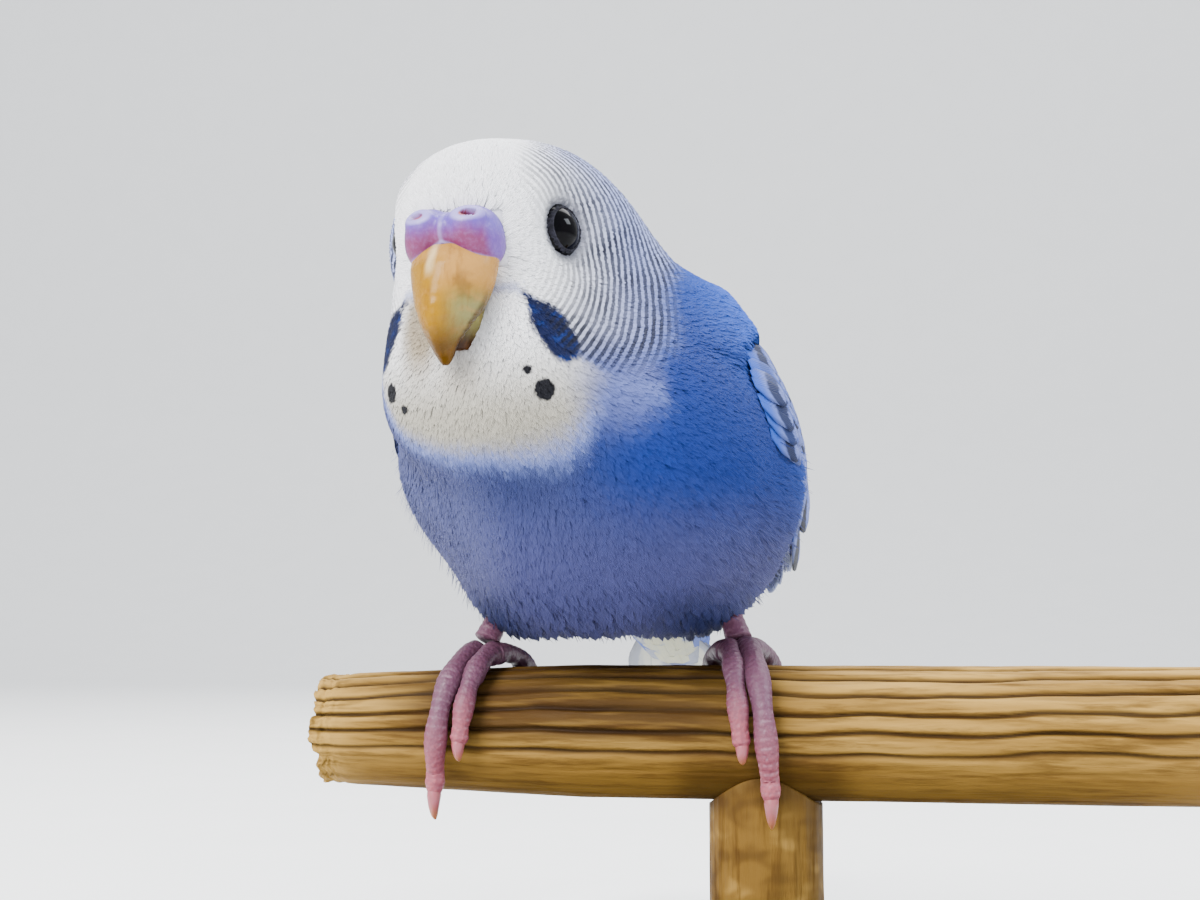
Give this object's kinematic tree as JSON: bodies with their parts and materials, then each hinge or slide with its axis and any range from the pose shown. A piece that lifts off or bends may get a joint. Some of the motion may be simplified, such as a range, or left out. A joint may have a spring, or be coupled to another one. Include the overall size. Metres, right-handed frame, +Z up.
{
  "type": "budgerigar, still display model",
  "caption": "Life-size still budgerigar gripping a short wooden perch, head turned, held by a plain round display stand.",
  "frame": {"origin": "middle of the round base's underside, on the axis of the perch's post", "axes": "+Z up, -Y the way the bird faces, +X to the bird's left along the perch"},
  "size_m": [0.1, 0.1835, 0.0963],
  "materials": {
    "white_plumage": "soft white feathers with fine grey bars",
    "blue_plumage": "soft violet blue feathers",
    "wing_plumage": "pale blue grey feathers with dark scalloped edges",
    "tail_plumage": "blue grey feathers with a pale yellow white centre",
    "eye": "wet glossy black",
    "cere_skin": "smooth mauve pink bare skin",
    "bill_horn": "satin ochre horn",
    "foot_skin": "scaled grey mauve skin",
    "perch_wood": "raw ridged wood, chewed at the end",
    "stand_steel": "brushed",
    "stand_black": "satin black lacquer"
  },
  "bodies": {
    "root": {"head": "white_plumage", "neck": "white_plumage", "torso": "blue_plumage", "eye_left": "eye", "eye_right": "eye", "cere": "cere_skin", "bill_upper": "bill_horn", "bill_lower": "bill_horn", "wing_left": "wing_plumage", "wing_right": "wing_plumage", "tail": "tail_plumage", "leg_left": "foot_skin", "leg_right": "foot_skin", "foot_left": "foot_skin", "foot_right": "foot_skin", "perch_bar": "perch_wood", "perch_post": "perch_wood", "stand_rod": "stand_steel", "stand_base": "stand_black"}
  },
  "joints": []
}
